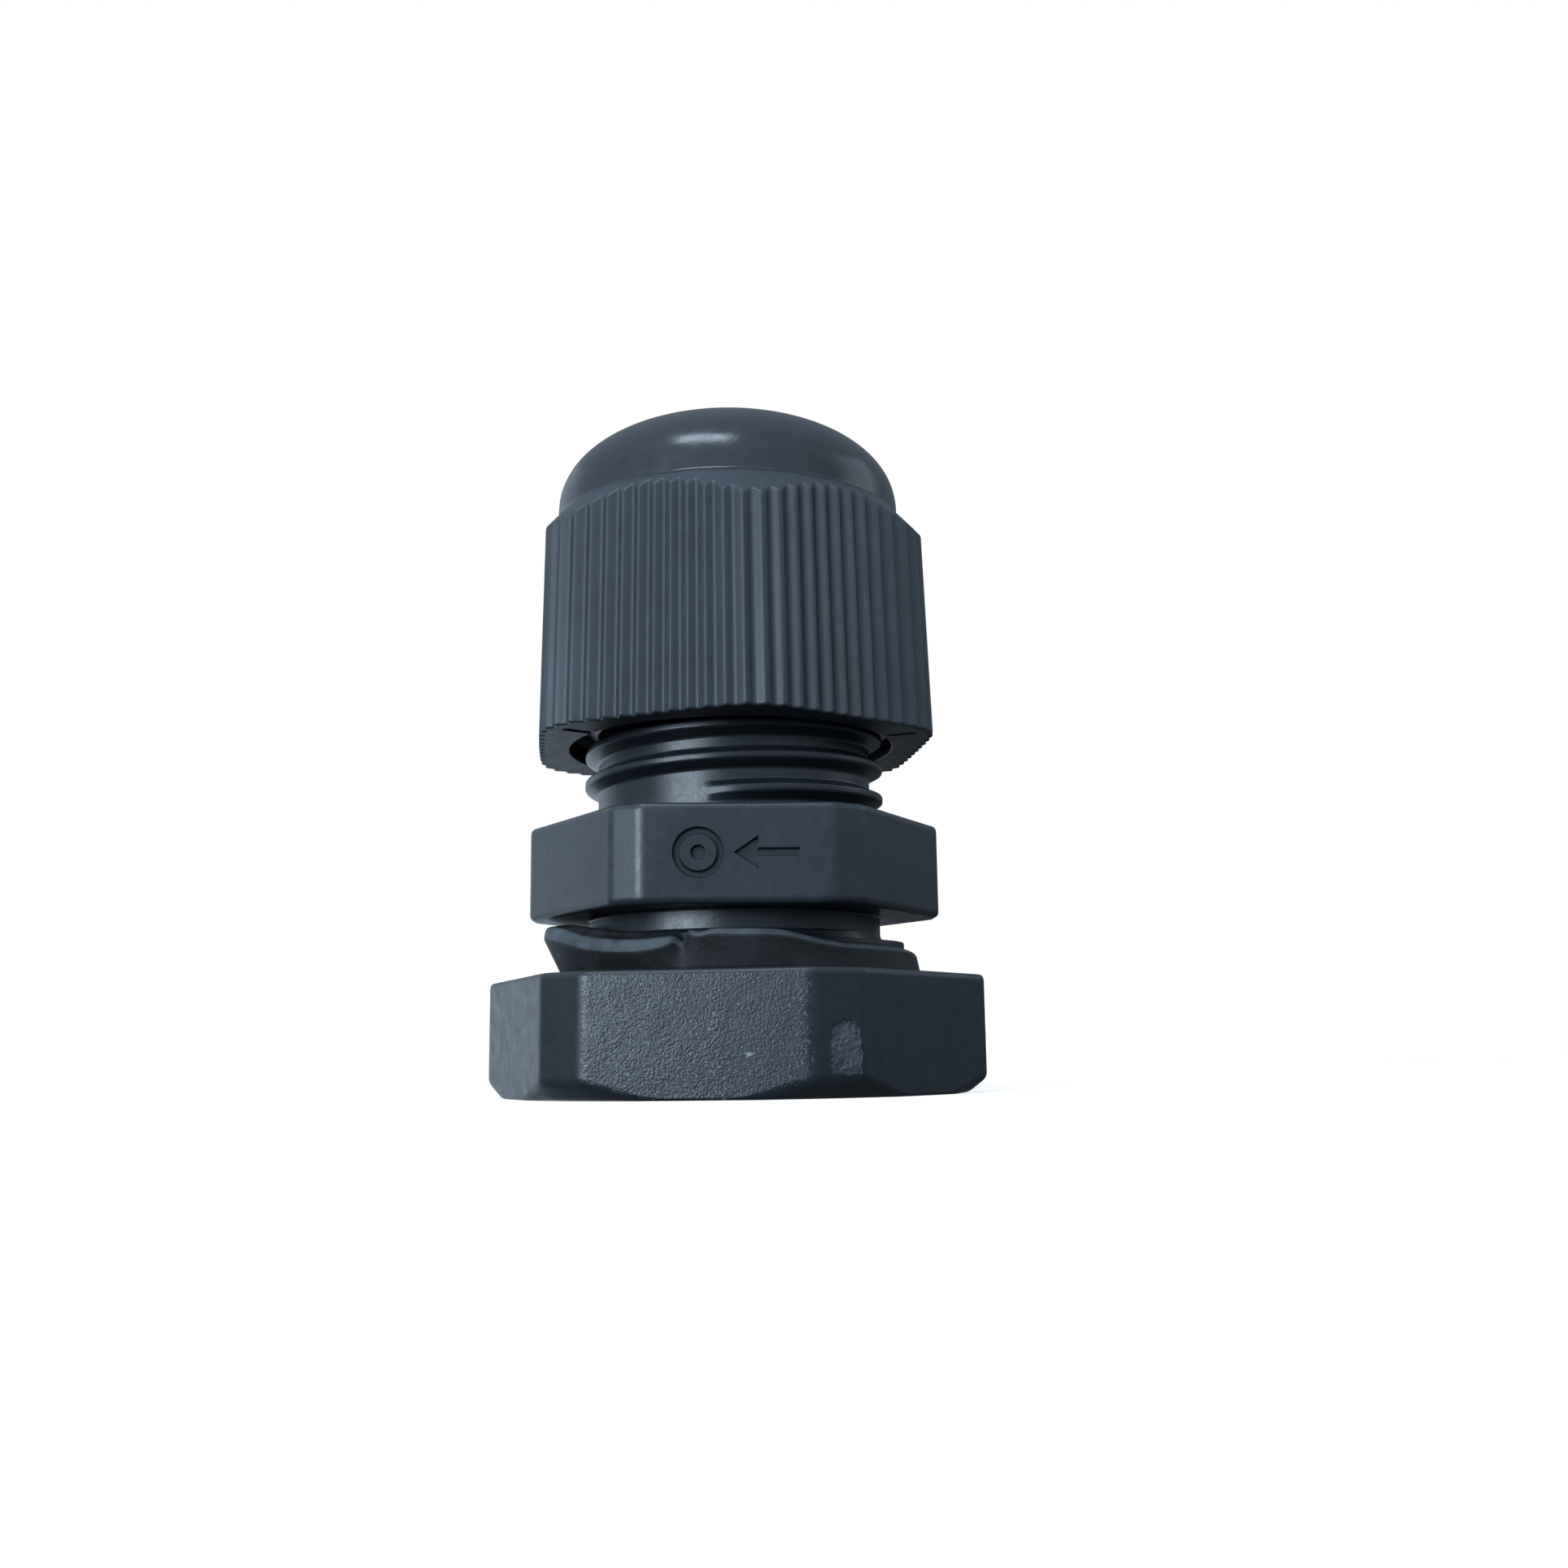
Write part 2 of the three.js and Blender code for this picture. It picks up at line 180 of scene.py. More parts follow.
def profile(corners, count, steps=4, guard=0.05):
    """Rows of (radius, height) through corners (radius, height, reach, splits), one value per column.

    A corner is rounded from `reach` before it to `reach` after it. splits is how many steps lead
    to the next corner.
    """
    points = [np.stack([np.broadcast_to(np.asarray(v, float), (count,)) for v in c[:2]]) for c in corners]
    rows = []
    for i, corner in enumerate(corners):
        reach = corner[2] if len(corner) > 2 else 0
        made = [points[i]]
        if reach and 0 < i < len(corners) - 1:
            back, on = points[i - 1] - points[i], points[i + 1] - points[i]
            far_back, far_on = np.linalg.norm(back, axis=0), np.linalg.norm(on, axis=0)
            room = 0.45 * np.minimum(far_back, far_on)
            near = np.minimum(reach, room)
            wide = np.minimum(near + guard, room + 0.02)
            back, on = back / far_back, on / far_on
            start, end = points[i] + back * near, points[i] + on * near
            made = [points[i] + back * wide]
            for t in np.linspace(0, 1, steps + 1):
                made.append((1 - t) ** 2 * start + 2 * t * (1 - t) * points[i] + t**2 * end)
            made.append(points[i] + on * wide)
        if i and len(corners[i - 1]) > 3:
            splits = corners[i - 1][3]
            rows += [rows[-1] + (made[0] - rows[-1]) * s / splits for s in range(1, splits)]
        rows += made
    rows = np.array(rows)
    return rows[:, 0], rows[:, 1]


# ---------- meshes ----------
class Shell:
    """A closed skin round the axis, collected band by band and welded where the bands meet."""

    def __init__(self):
        self.points = []
        self.faces = []
        self.size = 0

    def place(self, azimuth, radius, height):
        """Adds points, and returns their numbers in the shape of radius."""
        angle = np.radians(np.broadcast_to(azimuth, radius.shape))
        spot = np.stack([radius * np.sin(angle), -radius * np.cos(angle), height], -1)
        self.points.append(spot.reshape(-1, 3))
        numbers = self.size + np.arange(radius.size).reshape(radius.shape)
        self.size += radius.size
        return numbers

    def quads(self, a, b, c, d, flip=False):
        found = np.stack([a, b, c, d], -1).reshape(-1, 4)
        self.faces += (found[:, ::-1] if flip else found).tolist()

    def band(self, azimuth, radius, height):
        """Rows that follow each other, up the outside or down the inside."""
        n = self.place(azimuth, radius, height)
        on = np.roll(n, -1, axis=1)
        self.quads(n[:-1], on[:-1], on[1:], n[1:])

    def fan(self, azimuth, fine, coarse, ratio, fine_first=True):
        """Joins a ring of many points to one of few. Each ring is (radius, height)."""
        ring = lambda at, spot: self.place(at, *(np.full(at.shape, value, float) for value in spot))
        many, few = ring(azimuth, fine), ring(azimuth[::ratio], coarse)
        for j in range(len(few)):
            side = [int(many[(j * ratio + k) % len(many)]) for k in range(ratio + 1)]
            ends = [int(few[(j + 1) % len(few)]), int(few[j])]
            face = side + ends
            self.faces.append(face if fine_first else face[::-1])

    def thread(self, azimuth, bottom, top, start, offsets, surface, ends, inside=False):
        """A band that follows a helix, cut off flat at bottom and top, where its radius is ends.

        offsets are the heights of its rows from the ridge's middle, over one pitch, and
        surface(turns, offset, height) gives the radius.
        """
        first = math.floor((bottom - start) / PITCH) - 2
        last = math.ceil((top - start) / PITCH) + 2
        turn = np.repeat(np.arange(first, last), len(offsets))[:, None]
        offset = np.tile(offsets, last - first)[:, None]
        turns = turn + azimuth / 360
        height = start + PITCH * turns + offset
        radius = surface(turns, offset + 0 * turns, height)
        low, high = height <= bottom, height >= top
        radius = np.where(low, ends[0], np.where(high, ends[1], radius))
        height = np.clip(height, bottom, top)
        n = self.place(azimuth, radius, height)
        step = len(offsets)
        on = np.concatenate([n[:-step, 1:], n[step:, :1]], axis=1)
        n, low, high = n[:-step], low[:-step], high[:-step]
        here, there = n[:-1], on[:-1]
        dead = (low[:-1] & low[1:]) | (high[:-1] & high[1:])
        flat = height.reshape(-1)
        base = self.size - flat.size
        for corner_set in (there, on[1:]):
            z = flat[corner_set - base]
            low_there, high_there = z <= bottom, z >= top
            dead = dead & (low_there | high_there)
        alive = ~dead
        self.quads(here[alive], there[alive], on[1:][alive], n[1:][alive], flip=inside)

    def build(self, name):
        points = np.concatenate(self.points) * MM
        mesh = bpy.data.meshes.new(name)
        mesh.from_pydata(points.tolist(), [], self.faces)
        bm = bmesh.new()
        bm.from_mesh(mesh)
        bmesh.ops.remove_doubles(bm, verts=bm.verts, dist=WELD * MM)
        bmesh.ops.dissolve_degenerate(bm, edges=bm.edges, dist=WELD * MM)
        loose = [v for v in bm.verts if not v.link_faces]
        bmesh.ops.delete(bm, geom=loose, context="VERTS")
        bm.to_mesh(mesh)
        bm.free()
        piece = bpy.data.objects.new(name, mesh)
        bpy.context.scene.collection.objects.link(piece)
        return piece


def ring_shell(name, azimuth, corners, steps=4):
    """A closed ring turned round the axis from a closed profile."""
    shell = Shell()
    radius, height = profile(corners, len(azimuth), steps)
    shell.band(azimuth, radius, height)
    return shell.build(name)


def carve(piece, cutter):
    """Cuts the cutter out of the piece."""
    cut = piece.modifiers.new("cut", "BOOLEAN")
    cut.object = cutter
    cut.solver = "EXACT"
    bpy.context.view_layer.objects.active = piece
    bpy.ops.object.modifier_apply(modifier=cut.name)
    bpy.data.objects.remove(cutter)


def prism(name, outlines, place):
    """Closed prisms with drafted walls. An outline is (points, depth, draft): it is widest at its top."""
    bm = bmesh.new()
    for points, depth, draft in outlines:
        points = np.asarray(points, float)
        before, after = np.roll(points, 1, axis=0), np.roll(points, -1, axis=0)
        along_in = points - before
        along_out = after - points
        side = lambda v: np.stack([v[:, 1], -v[:, 0]], -1) / np.linalg.norm(v, axis=1)[:, None]
        out = side(along_in) + side(along_out)
        out /= (out * side(along_in)).sum(1)[:, None]
        rings = []
        for shift, height in ((-draft, -depth), (draft, depth)):
            ring = points + out * shift
            rings.append([bm.verts.new((x * MM, y * MM, height * MM)) for x, y in ring])
        low, high = rings
        bm.faces.new(low[::-1])
        bm.faces.new(high)
        for j in range(len(low)):
            k = (j + 1) % len(low)
            bm.faces.new((low[j], low[k], high[k], high[j]))
    mesh = bpy.data.meshes.new(name)
    bmesh.ops.recalc_face_normals(bm, faces=bm.faces)
    bm.to_mesh(mesh)
    bm.free()
    mesh.transform(place)
    piece = bpy.data.objects.new(name, mesh)
    bpy.context.scene.collection.objects.link(piece)
    return piece


def smooth(piece):
    """Shades the piece smooth, apart from its crisp edges."""
    piece.data.polygons.foreach_set("use_smooth", [True] * len(piece.data.polygons))
    piece.data.set_sharp_from_angle(angle=SHARP)


def paint(piece, materials, choose=None):
    """Gives the piece its materials; choose(centres, normals) says which each face has."""
    piece.data.materials.clear()
    for material in materials:
        piece.data.materials.append(material)
    count = len(piece.data.polygons)
    index = np.zeros(count, int)
    if choose is not None:
        centres = np.zeros(count * 3)
        normals = np.zeros(count * 3)
        piece.data.polygons.foreach_get("center", centres)
        piece.data.polygons.foreach_get("normal", normals)
        index = choose(centres.reshape(-1, 3) / MM, normals.reshape(-1, 3))
    piece.data.polygons.foreach_set("material_index", index.astype(np.int32))


# ---------- materials ----------
class Look:
    """A node material on the piece's own coordinates."""

    def __init__(self, name):
        self.material = bpy.data.materials.new(name)
        self.material.use_nodes = True
        self.tree = self.material.node_tree
        self.shader = self.tree.nodes["Principled BSDF"]
        self.place = self.tree.nodes.new("ShaderNodeTexCoord").outputs["Object"]

    def link(self, source, target):
        self.tree.links.new(source, target)

    def noise(self, size, detail=3, distortion=0.0, stretch=(1, 1, 1)):
        """Noise whose features are about `size` millimetres across."""
        mapping = self.tree.nodes.new("ShaderNodeMapping")
        mapping.inputs["Scale"].default_value = stretch
        self.link(self.place, mapping.inputs["Vector"])
        node = self.tree.nodes.new("ShaderNodeTexNoise")
        node.inputs["Scale"].default_value = 1 / (size * MM)
        node.inputs["Detail"].default_value = detail
        node.inputs["Distortion"].default_value = distortion
        self.link(mapping.outputs["Vector"], node.inputs["Vector"])
        return node.outputs["Fac"]

    def ramp(self, value, low, high, start, end):
        """Maps low..high to start..end, and holds the ends."""
        node = self.tree.nodes.new("ShaderNodeMapRange")
        for socket, number in zip(("From Min", "From Max", "To Min", "To Max"), (low, high, start, end)):
            node.inputs[socket].default_value = number
        self.link(value, node.inputs["Value"])
        return node.outputs["Result"]

    def math(self, operation, a, b):
        node = self.tree.nodes.new("ShaderNodeMath")
        node.operation = operation
        for socket, value in zip(node.inputs, (a, b)):
            if isinstance(value, (int, float)):
                socket.default_value = value
            else:
                self.link(value, socket)
        return node.outputs["Value"]

    def mix(self, share, first, second):
        node = self.tree.nodes.new("ShaderNodeMix")
        node.data_type = "RGBA"
        self.link(share, node.inputs["Factor"])
        for socket, colour in ((node.inputs["A"], first), (node.inputs["B"], second)):
            if isinstance(colour, tuple):
                socket.default_value = (*colour, 1)
            else:
                self.link(colour, socket)
        return node.outputs["Result"]

    def bump(self, height, depth, normal=None):
        """A bump of `depth` millimetres where the height is 1."""
        node = self.tree.nodes.new("ShaderNodeBump")
        node.inputs["Distance"].default_value = depth * MM
        self.link(height, node.inputs["Height"])
        if normal is not None:
            self.link(normal, node.inputs["Normal"])
        return node.outputs["Normal"]


def nylon(name, dark, light, roughness, grain=0.12, grain_depth=0.004, wave_depth=0.01, painted_sparkle=0.0):
    """Moulded nylon: a broad flow of tone, a fine grain, and a slightly uneven gloss.

    When the glint strength is above zero, the grain is patchy and deeper towards -X, the side the key
    light comes from. Painted glints, light specks in the base colour that stand in for highlights, are
    mixed in there too, also stronger towards -X.
    """
    look = Look(name)
    flow = look.noise(5.0, 2, 0.6)
    mottle = look.noise(0.7, 4)
    fine = look.noise(grain, 3)
    tone = look.math("ADD", look.math("MULTIPLY", flow, 0.6), look.math("MULTIPLY", mottle, 0.4))
    colour = look.mix(look.ramp(tone, 0.35, 0.65, 0, 1), dark, light)
    gloss = look.math("ADD", look.math("MULTIPLY", mottle, 0.6), look.math("MULTIPLY", fine, 0.4))
    uneven = look.ramp(gloss, 0.3, 0.7, roughness - 0.07, roughness + 0.08)
    look.link(uneven, look.shader.inputs["Roughness"])
    if painted_sparkle:
        split = look.tree.nodes.new("ShaderNodeSeparateXYZ")
        look.link(look.place, split.inputs[0])
        # stronger towards -X, where the key light falls: it deepens the grain's bump there and brightens
        # the painted glints, which is painted light, not wear
        toward_lit_side = look.ramp(split.outputs["X"], -5.5 * MM, 3.5 * MM, 1, 0.6)
        patch = look.math("MULTIPLY", look.ramp(look.noise(1.3, 3), 0.38, 0.62, 0.6, 1), toward_lit_side)
        fine = look.math("MULTIPLY", fine, patch)
        # painted glints: light specks mixed into the base colour that stand in for highlights on the
        # grain
        painted_glint = look.ramp(look.noise(grain * 1.3, 1, 1.0), 0.64, 0.7, 0, painted_sparkle)
        colour = look.mix(look.math("MULTIPLY", painted_glint, patch), colour, tuple(0.1 + 4 * c for c in light))
    look.link(colour, look.shader.inputs["Base Color"])
    wave = look.bump(flow, wave_depth)
    look.link(look.bump(fine, grain_depth, wave), look.shader.inputs["Normal"])
    look.shader.inputs["IOR"].default_value = 1.5
    return look.material


def rubber(name, dark, light):
    """Matte rubber with bloom and fine dust."""
    look = Look(name)
    bloom = look.noise(1.6, 4, 0.8)
    dust = look.noise(0.16, 2)
    colour = look.mix(look.ramp(bloom, 0.4, 0.68, 0, 1), dark, light)
    colour = look.mix(look.ramp(dust, 0.72, 0.8, 0, 0.5), colour, (0.2, 0.21, 0.22))
    look.link(colour, look.shader.inputs["Base Color"])
    look.link(look.ramp(bloom, 0.3, 0.7, 0.5, 0.72), look.shader.inputs["Roughness"])
    look.link(look.bump(look.noise(0.35, 4), 0.02), look.shader.inputs["Normal"])
    return look.material


BODY_NYLON = nylon("body_nylon", (0.017, 0.022, 0.028), (0.027, 0.035, 0.043), 0.36)
NECK_NYLON = nylon("neck_nylon", (0.01, 0.0135, 0.0175), (0.0155, 0.02, 0.026), 0.32)
DOME_GLOSS = nylon("dome_gloss", (0.015, 0.0185, 0.025), (0.024, 0.029, 0.037), 0.22, wave_depth=0.03)
DOME_SATIN = nylon("dome_satin", (0.026, 0.033, 0.042), (0.038, 0.047, 0.058), 0.44)
LOCK_NYLON = nylon("lock_nut_nylon", (0.013, 0.018, 0.023), (0.019, 0.025, 0.031), 0.4)
# the lock nut's grained faces, with painted glints in the colour that are stronger towards -X, where the
# light falls
LOCK_GRAIN = nylon(
    "lock_nut_grain", (0.0115, 0.016, 0.021), (0.0165, 0.022, 0.029), 0.3,
    grain=0.11, grain_depth=0.036, wave_depth=0.012, painted_sparkle=0.8,
)
SCAR_NYLON = nylon(
    "scar_nylon", (0.016, 0.022, 0.028), (0.075, 0.09, 0.105), 0.55, grain=0.2, grain_depth=0.16
)
# a darker copy of the lock nut's nylon, for its cut corners: painted shade
SHADED_CUT_NYLON = nylon("shaded_cut_nylon", (0.009, 0.0125, 0.0165), (0.012, 0.0165, 0.021), 0.42)
NICK_NYLON = nylon("nick_nylon", (0.2, 0.21, 0.235), (0.3, 0.31, 0.34), 0.6)
WASHER_RUBBER = rubber("washer_rubber", (0.005, 0.0063, 0.0076), (0.0102, 0.0128, 0.0153))
# a much lighter copy of the rubber for the rim's top outer edge: a painted highlight
WASHER_HIGHLIGHT_EDGE = rubber("washer_highlight_edge", (0.03, 0.037, 0.045), (0.07, 0.083, 0.096))
SEAL_RUBBER = rubber("seal_rubber", (0.006, 0.006, 0.007), (0.012, 0.012, 0.013))


# ---------- thread rows ----------
def ridge_rows(thread, reach=0.09, steps=3):
    """Heights from the ridge's middle over one pitch, and how far the ridge stands there, 0 to 1."""
    depth = thread["crest"] - thread["root"]
    (low_foot, high_foot), (low_top, high_top) = thread["feet"], thread["tops"]
    corners = [
        (0, -PITCH / 2),
        (0, low_foot, reach),
        (depth, low_top, min(reach, high_top)),
        (depth, high_top, min(reach, high_top)),
        (0, high_foot, reach),
        (0, PITCH / 2),
    ]
    stand, offset = profile(corners, 1, steps, 0.03)
    return offset[:-1, 0], stand[:-1, 0] / depth


def stand_at(offset, rows):
    return np.interp(offset, np.append(rows[0], PITCH / 2), np.append(rows[1], rows[1][0]))


def outside_thread(shell, azimuth, thread, bottom, top, bottom_cone, top_cone, from_start=False):
    """A shaft's thread that fades into the shaft over a cone at each end."""
    rows = ridge_rows(thread)
    depth = thread["crest"] - thread["root"]

    def surface(turns, offset, height):
        stand = depth * stand_at(offset, rows)
        if from_start:
            stand = stand * np.clip((turns + 0.034) / 0.09, 0, 1) ** 0.7
        cone = np.minimum((height - bottom) / bottom_cone, (top - height) / top_cone) * depth
        return thread["root"] + np.maximum(np.minimum(stand, cone), 0)

    shell.thread(azimuth, bottom, top, thread["start"], rows[0], surface, (thread["root"],) * 2)


def inside_thread(shell, azimuth, thread, bottom, top, play, mouths):
    """A nut's thread. mouths are its radii at bottom and top, from which cones lead in."""
    rows = ridge_rows(thread)
    depth = thread["crest"] - thread["root"]
    hole = thread["root"] + play

    def surface(turns, offset, height):
        groove = hole + depth * np.maximum(stand_at(offset, rows), stand_at(offset * 0.8, rows))
        cone = np.maximum(mouths[0] - (height - bottom), mouths[1] - (top - height))
        return np.maximum(groove, cone)

    shell.thread(azimuth, bottom, top, thread["start"], rows[0], surface, mouths, inside=True)


# ---------- gland body ----------
def mark_cutter():
    """A ring with a dot, for a cable seen end on, and an arrow that points into it."""
    turn = np.radians(np.arange(0, 360, 7.5))
    circle = lambda radius: [(-1.75 + radius * math.cos(t), radius * math.sin(t)) for t in turn]
    arrow = [(-0.2, 0), (0.9, -0.75), (0.9, -0.2), (2.75, -0.2), (2.75, 0.2), (0.9, 0.2), (0.9, 0.75)]
    middle = Matrix.Translation((0, -BODY["across_flats"] * MM, 10.65 * MM))
    face = middle @ Matrix.Rotation(math.pi / 2, 4, "X")
    depth, draft = 0.28, 0.08
    cutter = prism("mark", [(circle(1.15), depth, draft), (arrow, depth, draft)], face)
    island = prism("island", [(circle(0.8), 2 * depth, -2 * draft)], face)
    carve(cutter, island)
    dot = prism("dot", [(circle(0.35), depth, draft)], face)
    return cutter, dot


def gland_body():
    outline = cut_hexagon(BODY["across_flats"], BODY["across_corners"], 0, 0.24)
    azimuth = columns(240, outline)
    count = len(azimuth)
    side = outline_radius(outline, azimuth)
    shell = Shell()
    bottom, relief = BODY["entry_bottom"], 7.5
    outside_thread(shell, azimuth, PANEL_THREAD, bottom, relief, 0.7, 0.6)
    neck_top = 19.0
    hexagon = [
        (PANEL_THREAD["root"], relief),
        (PANEL_THREAD["root"], BODY["hex_bottom"], 0.12),
        (side, BODY["hex_bottom"], 0.3),
        (side, BODY["hex_top"], 0.3),
        (NECK_THREAD["root"], BODY["hex_top"], 0.15),
        (NECK_THREAD["root"], BODY["hex_top"] + 0.3),
    ]
    shell.band(azimuth, *profile(hexagon, count))
    outside_thread(shell, azimuth, NECK_THREAD, BODY["hex_top"] + 0.3, neck_top, 0.05, 0.5, True)
    inner = [
        (NECK_THREAD["root"], neck_top),
        (NECK_THREAD["root"], BODY["crown_top"], 0.1),
        (BODY["seat"], BODY["crown_top"], 0.1),
        (BODY["seat"], BODY["seat_floor"], 0.1),
        (BODY["bore"], BODY["seat_floor"], 0.15),
        (BODY["bore"], bottom + 0.6, 0.1),
        (BODY["bore"] + 0.6, bottom, 0.1),
        (PANEL_THREAD["root"], bottom),
    ]
    shell.band(azimuth, *profile(inner, count))
    piece = shell.build("body_moulding")
    for cutter in mark_cutter():
        carve(piece, cutter)
    smooth(piece)
    paint(piece, [BODY_NYLON, NECK_NYLON], on_thread)
    return piece


def on_thread(centres, normals):
    """The glossier shaft of the body, with its two threads."""
    return np.hypot(centres[:, 0], centres[:, 1]) < PANEL_THREAD["crest"] + 0.1


# ---------- lock nut ----------
SCAR = {"aside": 0.24, "half_width": 0.7, "base": 1.05, "spring": 2.6, "depth": 0.1, "draft": 0.04}
NICK = {"aside": 2.2, "height": 1.9, "depth": 0.06, "draft": 0.01}
NICK_ARMS = [  # (length, angle) of its tips and of the notches between them
    (0.36, 5), (0.09, 50), (0.17, 75), (0.09, 120), (0.3, 170), (0.09, 205), (0.27, 235), (0.1, 300),
]
CUT_CORNER = LOCK_NUT["turned"] + 30  # azimuth of the cut corner right of the front face


def face_place(azimuth, reach):
    """Stands a flat drawing up on the nut's face at this azimuth, `reach` from the axis."""
    stand = Matrix.Translation((0, -reach * MM, 0)) @ Matrix.Rotation(math.pi / 2, 4, "X")
    return Matrix.Rotation(math.radians(azimuth), 4, "Z") @ stand


def face_axes(points, azimuth):
    """How far the points are along, and out of, the upright face at this azimuth."""
    angle = math.radians(azimuth)
    along = points[:, 0] * math.cos(angle) + points[:, 1] * math.sin(angle)
    out = points[:, 0] * math.sin(angle) - points[:, 1] * math.cos(angle)
    return along, out


def scar_cutter():
    """The broken-off gate: an arched hollow with a torn outline, on a cut corner."""
    half, spring, base, aside = (SCAR[key] for key in ("half_width", "spring", "base", "aside"))
    torn = np.random.default_rng(5)
    turns = np.linspace(0, math.pi, 13)
    arch = [(aside + half * math.cos(t), spring + half * math.sin(t)) for t in turns]
    sides = [(aside - half, z) for z in np.linspace(spring, base, 9)[1:-1]]
    foot = [(aside + x, base) for x in np.linspace(-half, half, 6)]
    outline = arch + sides + foot + [(2 * aside - x, z) for x, z in sides[::-1]]
    outline = [(x + torn.normal(0, 0.045), z + torn.normal(0, 0.04)) for x, z in outline]
    place = face_place(CUT_CORNER, LOCK_NUT["across_corners"])
    return prism("scar", [(outline, SCAR["depth"], SCAR["draft"])], place)


def nick_cutter():
    """A small three-armed nick in the front face."""
    arms = [(length, math.radians(angle)) for length, angle in NICK_ARMS]
    outline = [(NICK["aside"] + r * math.cos(a), NICK["height"] + r * math.sin(a)) for r, a in arms]
    place = face_place(LOCK_NUT["turned"], LOCK_NUT["across_flats"])
    return prism("nick", [(outline, NICK["depth"], NICK["draft"])], place)


def in_nick(centres):
    along, out = face_axes(centres, LOCK_NUT["turned"])
    sunk = (out > LOCK_NUT["across_flats"] - 0.1) & (out < LOCK_NUT["across_flats"] - 0.01)
    return sunk & (abs(along - NICK["aside"]) < 0.5) & (abs(centres[:, 2] - NICK["height"]) < 0.5)


def in_scar(centres, normals):
    along, out = face_axes(centres, CUT_CORNER)
    facing = face_axes(normals, CUT_CORNER)[1]
    sunk = (out > LOCK_NUT["across_corners"] - 0.2) & (out < LOCK_NUT["across_corners"] - 0.02)
    floor_or_wall = (facing > 0.999) | (facing < 0.8)
    return sunk & floor_or_wall & (abs(along - SCAR["aside"]) < 0.85) & (abs(centres[:, 2] - 2.2) < 1.3)


def lock_nut_finish(centres, normals):
    """The front and back faces are grained, the cut corners beside them darker with painted shade, and
    the scar rough.
    """
    out = face_axes(centres, LOCK_NUT["turned"])[1]
    grained = abs(out) > LOCK_NUT["across_flats"] - 0.03
    turned = np.degrees(np.arctan2(normals[:, 0], -normals[:, 1])) - LOCK_NUT["turned"]
    # cut corners facing front and back get the darker copy: painted shade for facets that catch little
    # light
    cut = (abs(turned % 60 - 30) < 13) & (abs(normals[:, 2]) < 0.3) & (abs(out) > 1)
    finish = np.where(grained, 2, np.where(cut, 4, 0))
    finish = np.where(in_scar(centres, normals), 1, finish)
    return np.where(in_nick(centres), 3, finish)


def lock_nut():
    height, mouth = LOCK_NUT["height"], LOCK_NUT["mouth"]
    across = LOCK_NUT["across_flats"], LOCK_NUT["across_corners"]
    outline = cut_hexagon(*across, LOCK_NUT["turned"], 0.32)
    azimuth = columns(240, outline)
    count = len(azimuth)
    side = outline_radius(outline, azimuth)
    flat = np.minimum(LOCK_NUT["chamfer_radius"], side - 0.15)
    cone = np.maximum(LOCK_NUT["chamfer_slope"] * (side - LOCK_NUT["chamfer_radius"]), 0.0)
    corners = [
        (mouth, 0),
        (flat, 0, 0.3),
        (side, cone + 0.05, 0.26),
        (side, height, 0.28),
        (mouth, height),
    ]
    shell = Shell()
    shell.band(azimuth, *profile(corners, count))
    inside_thread(shell, azimuth, PANEL_THREAD, 0, height, 0.12, (mouth, mouth))
    piece = shell.build("lock_nut_moulding")
    carve(piece, scar_cutter())
    carve(piece, nick_cutter())
    smooth(piece)
    finishes = [LOCK_NYLON, SCAR_NYLON, LOCK_GRAIN, NICK_NYLON, SHADED_CUT_NYLON]
    paint(piece, finishes, lock_nut_finish)
    return piece


# ---------- sealing washer ----------
def wave(azimuth, knots):
    """A smooth closed curve through (azimuth, value) knots."""
    at, value = np.array(knots, float).T
    at = np.concatenate([at - 360, at, at + 360])
    value = np.tile(value, 3)
    where = np.clip(np.searchsorted(at, azimuth, side="right"), 2, len(at) - 2)
    span = at[where] - at[where - 1]
    t = (azimuth - at[where - 1]) / span
    slope = lambda k: (value[k + 1] - value[k - 1]) / (at[k + 1] - at[k - 1]) * span
    a, b = value[where - 1], value[where]
    sa, sb = slope(where - 1), slope(where)
    return (
        (2 * t**3 - 3 * t**2 + 1) * a
        + (t**3 - 2 * t**2 + t) * sa
        + (3 * t**2 - 2 * t**3) * b
        + (t**3 - t**2) * sb
    )


WASHER_BOTTOM = 5.51
WASHER_BORE = 7.97
# how each changes round the washer, as (azimuth, value): the rim's height and radius, the height of
# the lip under it, the radius of the washer's foot, and how far its inner edge is lifted
WASHER_RIM = [
    (0, 7.3), (12, 7.25), (22, 6.95), (32, 6.75), (55, 6.7), (90, 6.6), (135, 6.8), (180, 7.3),
    (225, 7.85), (255, 8.07), (280, 8.04), (296, 7.7), (312, 7.2), (328, 6.95), (338, 7.0),
    (341.5, 7.0), (343.5, 6.8), (345.5, 7.25), (349, 7.2), (353, 7.3),
]
WASHER_REACH = [
    (0, 9.1), (40, 8.95), (90, 8.82), (150, 9.0), (210, 9.2), (270, 9.3), (320, 9.15), (340, 9.12),
    (343.5, 8.8), (347, 9.15),
]
WASHER_LIP = [
    (0, 0.25), (30, 0.2), (90, 0.15), (180, 0.3), (240, 0.5), (300, 0.55), (335, 0.5), (344, 0.2),
]
WASHER_FOOT = [(0, 8.75), (90, 9.02), (180, 8.8), (270, 8.3)]
WASHER_LIFT = [(0, 0.2), (30, 0.0), (90, 0.15), (180, 0.4), (250, 1.05), (290, 1.0), (330, 0.3)]


